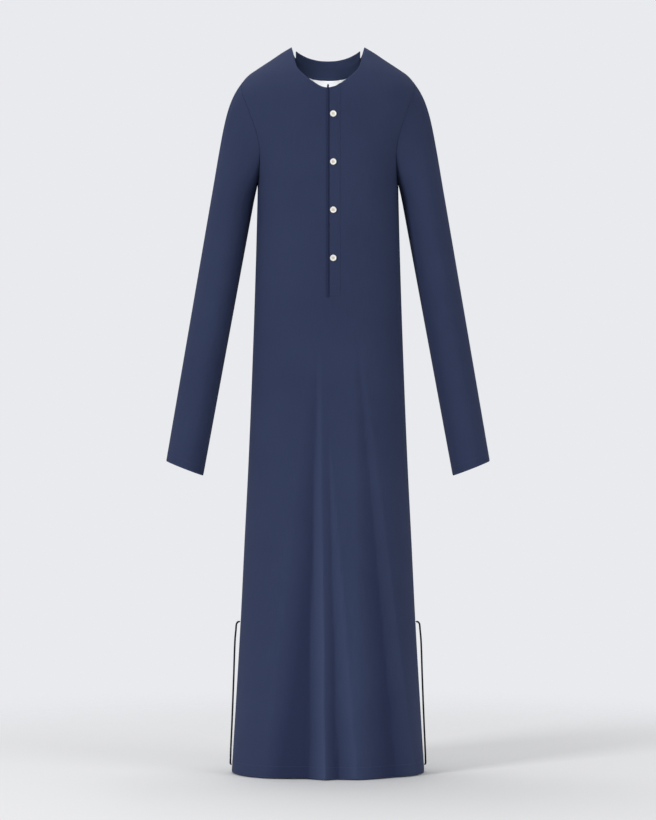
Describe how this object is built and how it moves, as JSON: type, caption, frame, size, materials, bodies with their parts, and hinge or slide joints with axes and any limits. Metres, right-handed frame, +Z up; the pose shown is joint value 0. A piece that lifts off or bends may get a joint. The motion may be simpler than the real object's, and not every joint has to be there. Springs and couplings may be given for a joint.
{
  "type": "abaya",
  "caption": "Long slim navy robe, filled out and hollow, with set-in sleeves, a buttoned placket, a dark band at the back of the neck, side vents and soft skirt folds.",
  "frame": {"origin": "the middle of the neck opening, level with the two shoulder points, where the wearer's shoulders hold the garment up", "axes": "+Z up along the garment's length, the front faces -Y, +X is the wearer's left"},
  "size_m": [0.6472, 0.2586, 1.4471],
  "materials": {
    "body_cloth": "matte navy crepe with a fine weave and a soft sheen",
    "band_cloth": "matte dark navy crepe",
    "piping": "near-black navy twisted piping",
    "half_moon_cloth": "pale plain-weave lining cotton",
    "button": "ivory, polished, with a slightly darker middle"
  },
  "bodies": {
    "root": {"front_panel": "body_cloth", "back_panel": "body_cloth", "sleeve_left": "body_cloth", "sleeve_right": "body_cloth", "placket_over": "body_cloth", "placket_under": "body_cloth", "placket_piping": "piping", "neck_band": "band_cloth", "neck_half_moon": "half_moon_cloth", "button_1": "button", "button_2": "button", "button_3": "button", "button_4": "button", "vent_piping_left": "piping", "vent_piping_right": "piping"}
  },
  "joints": []
}
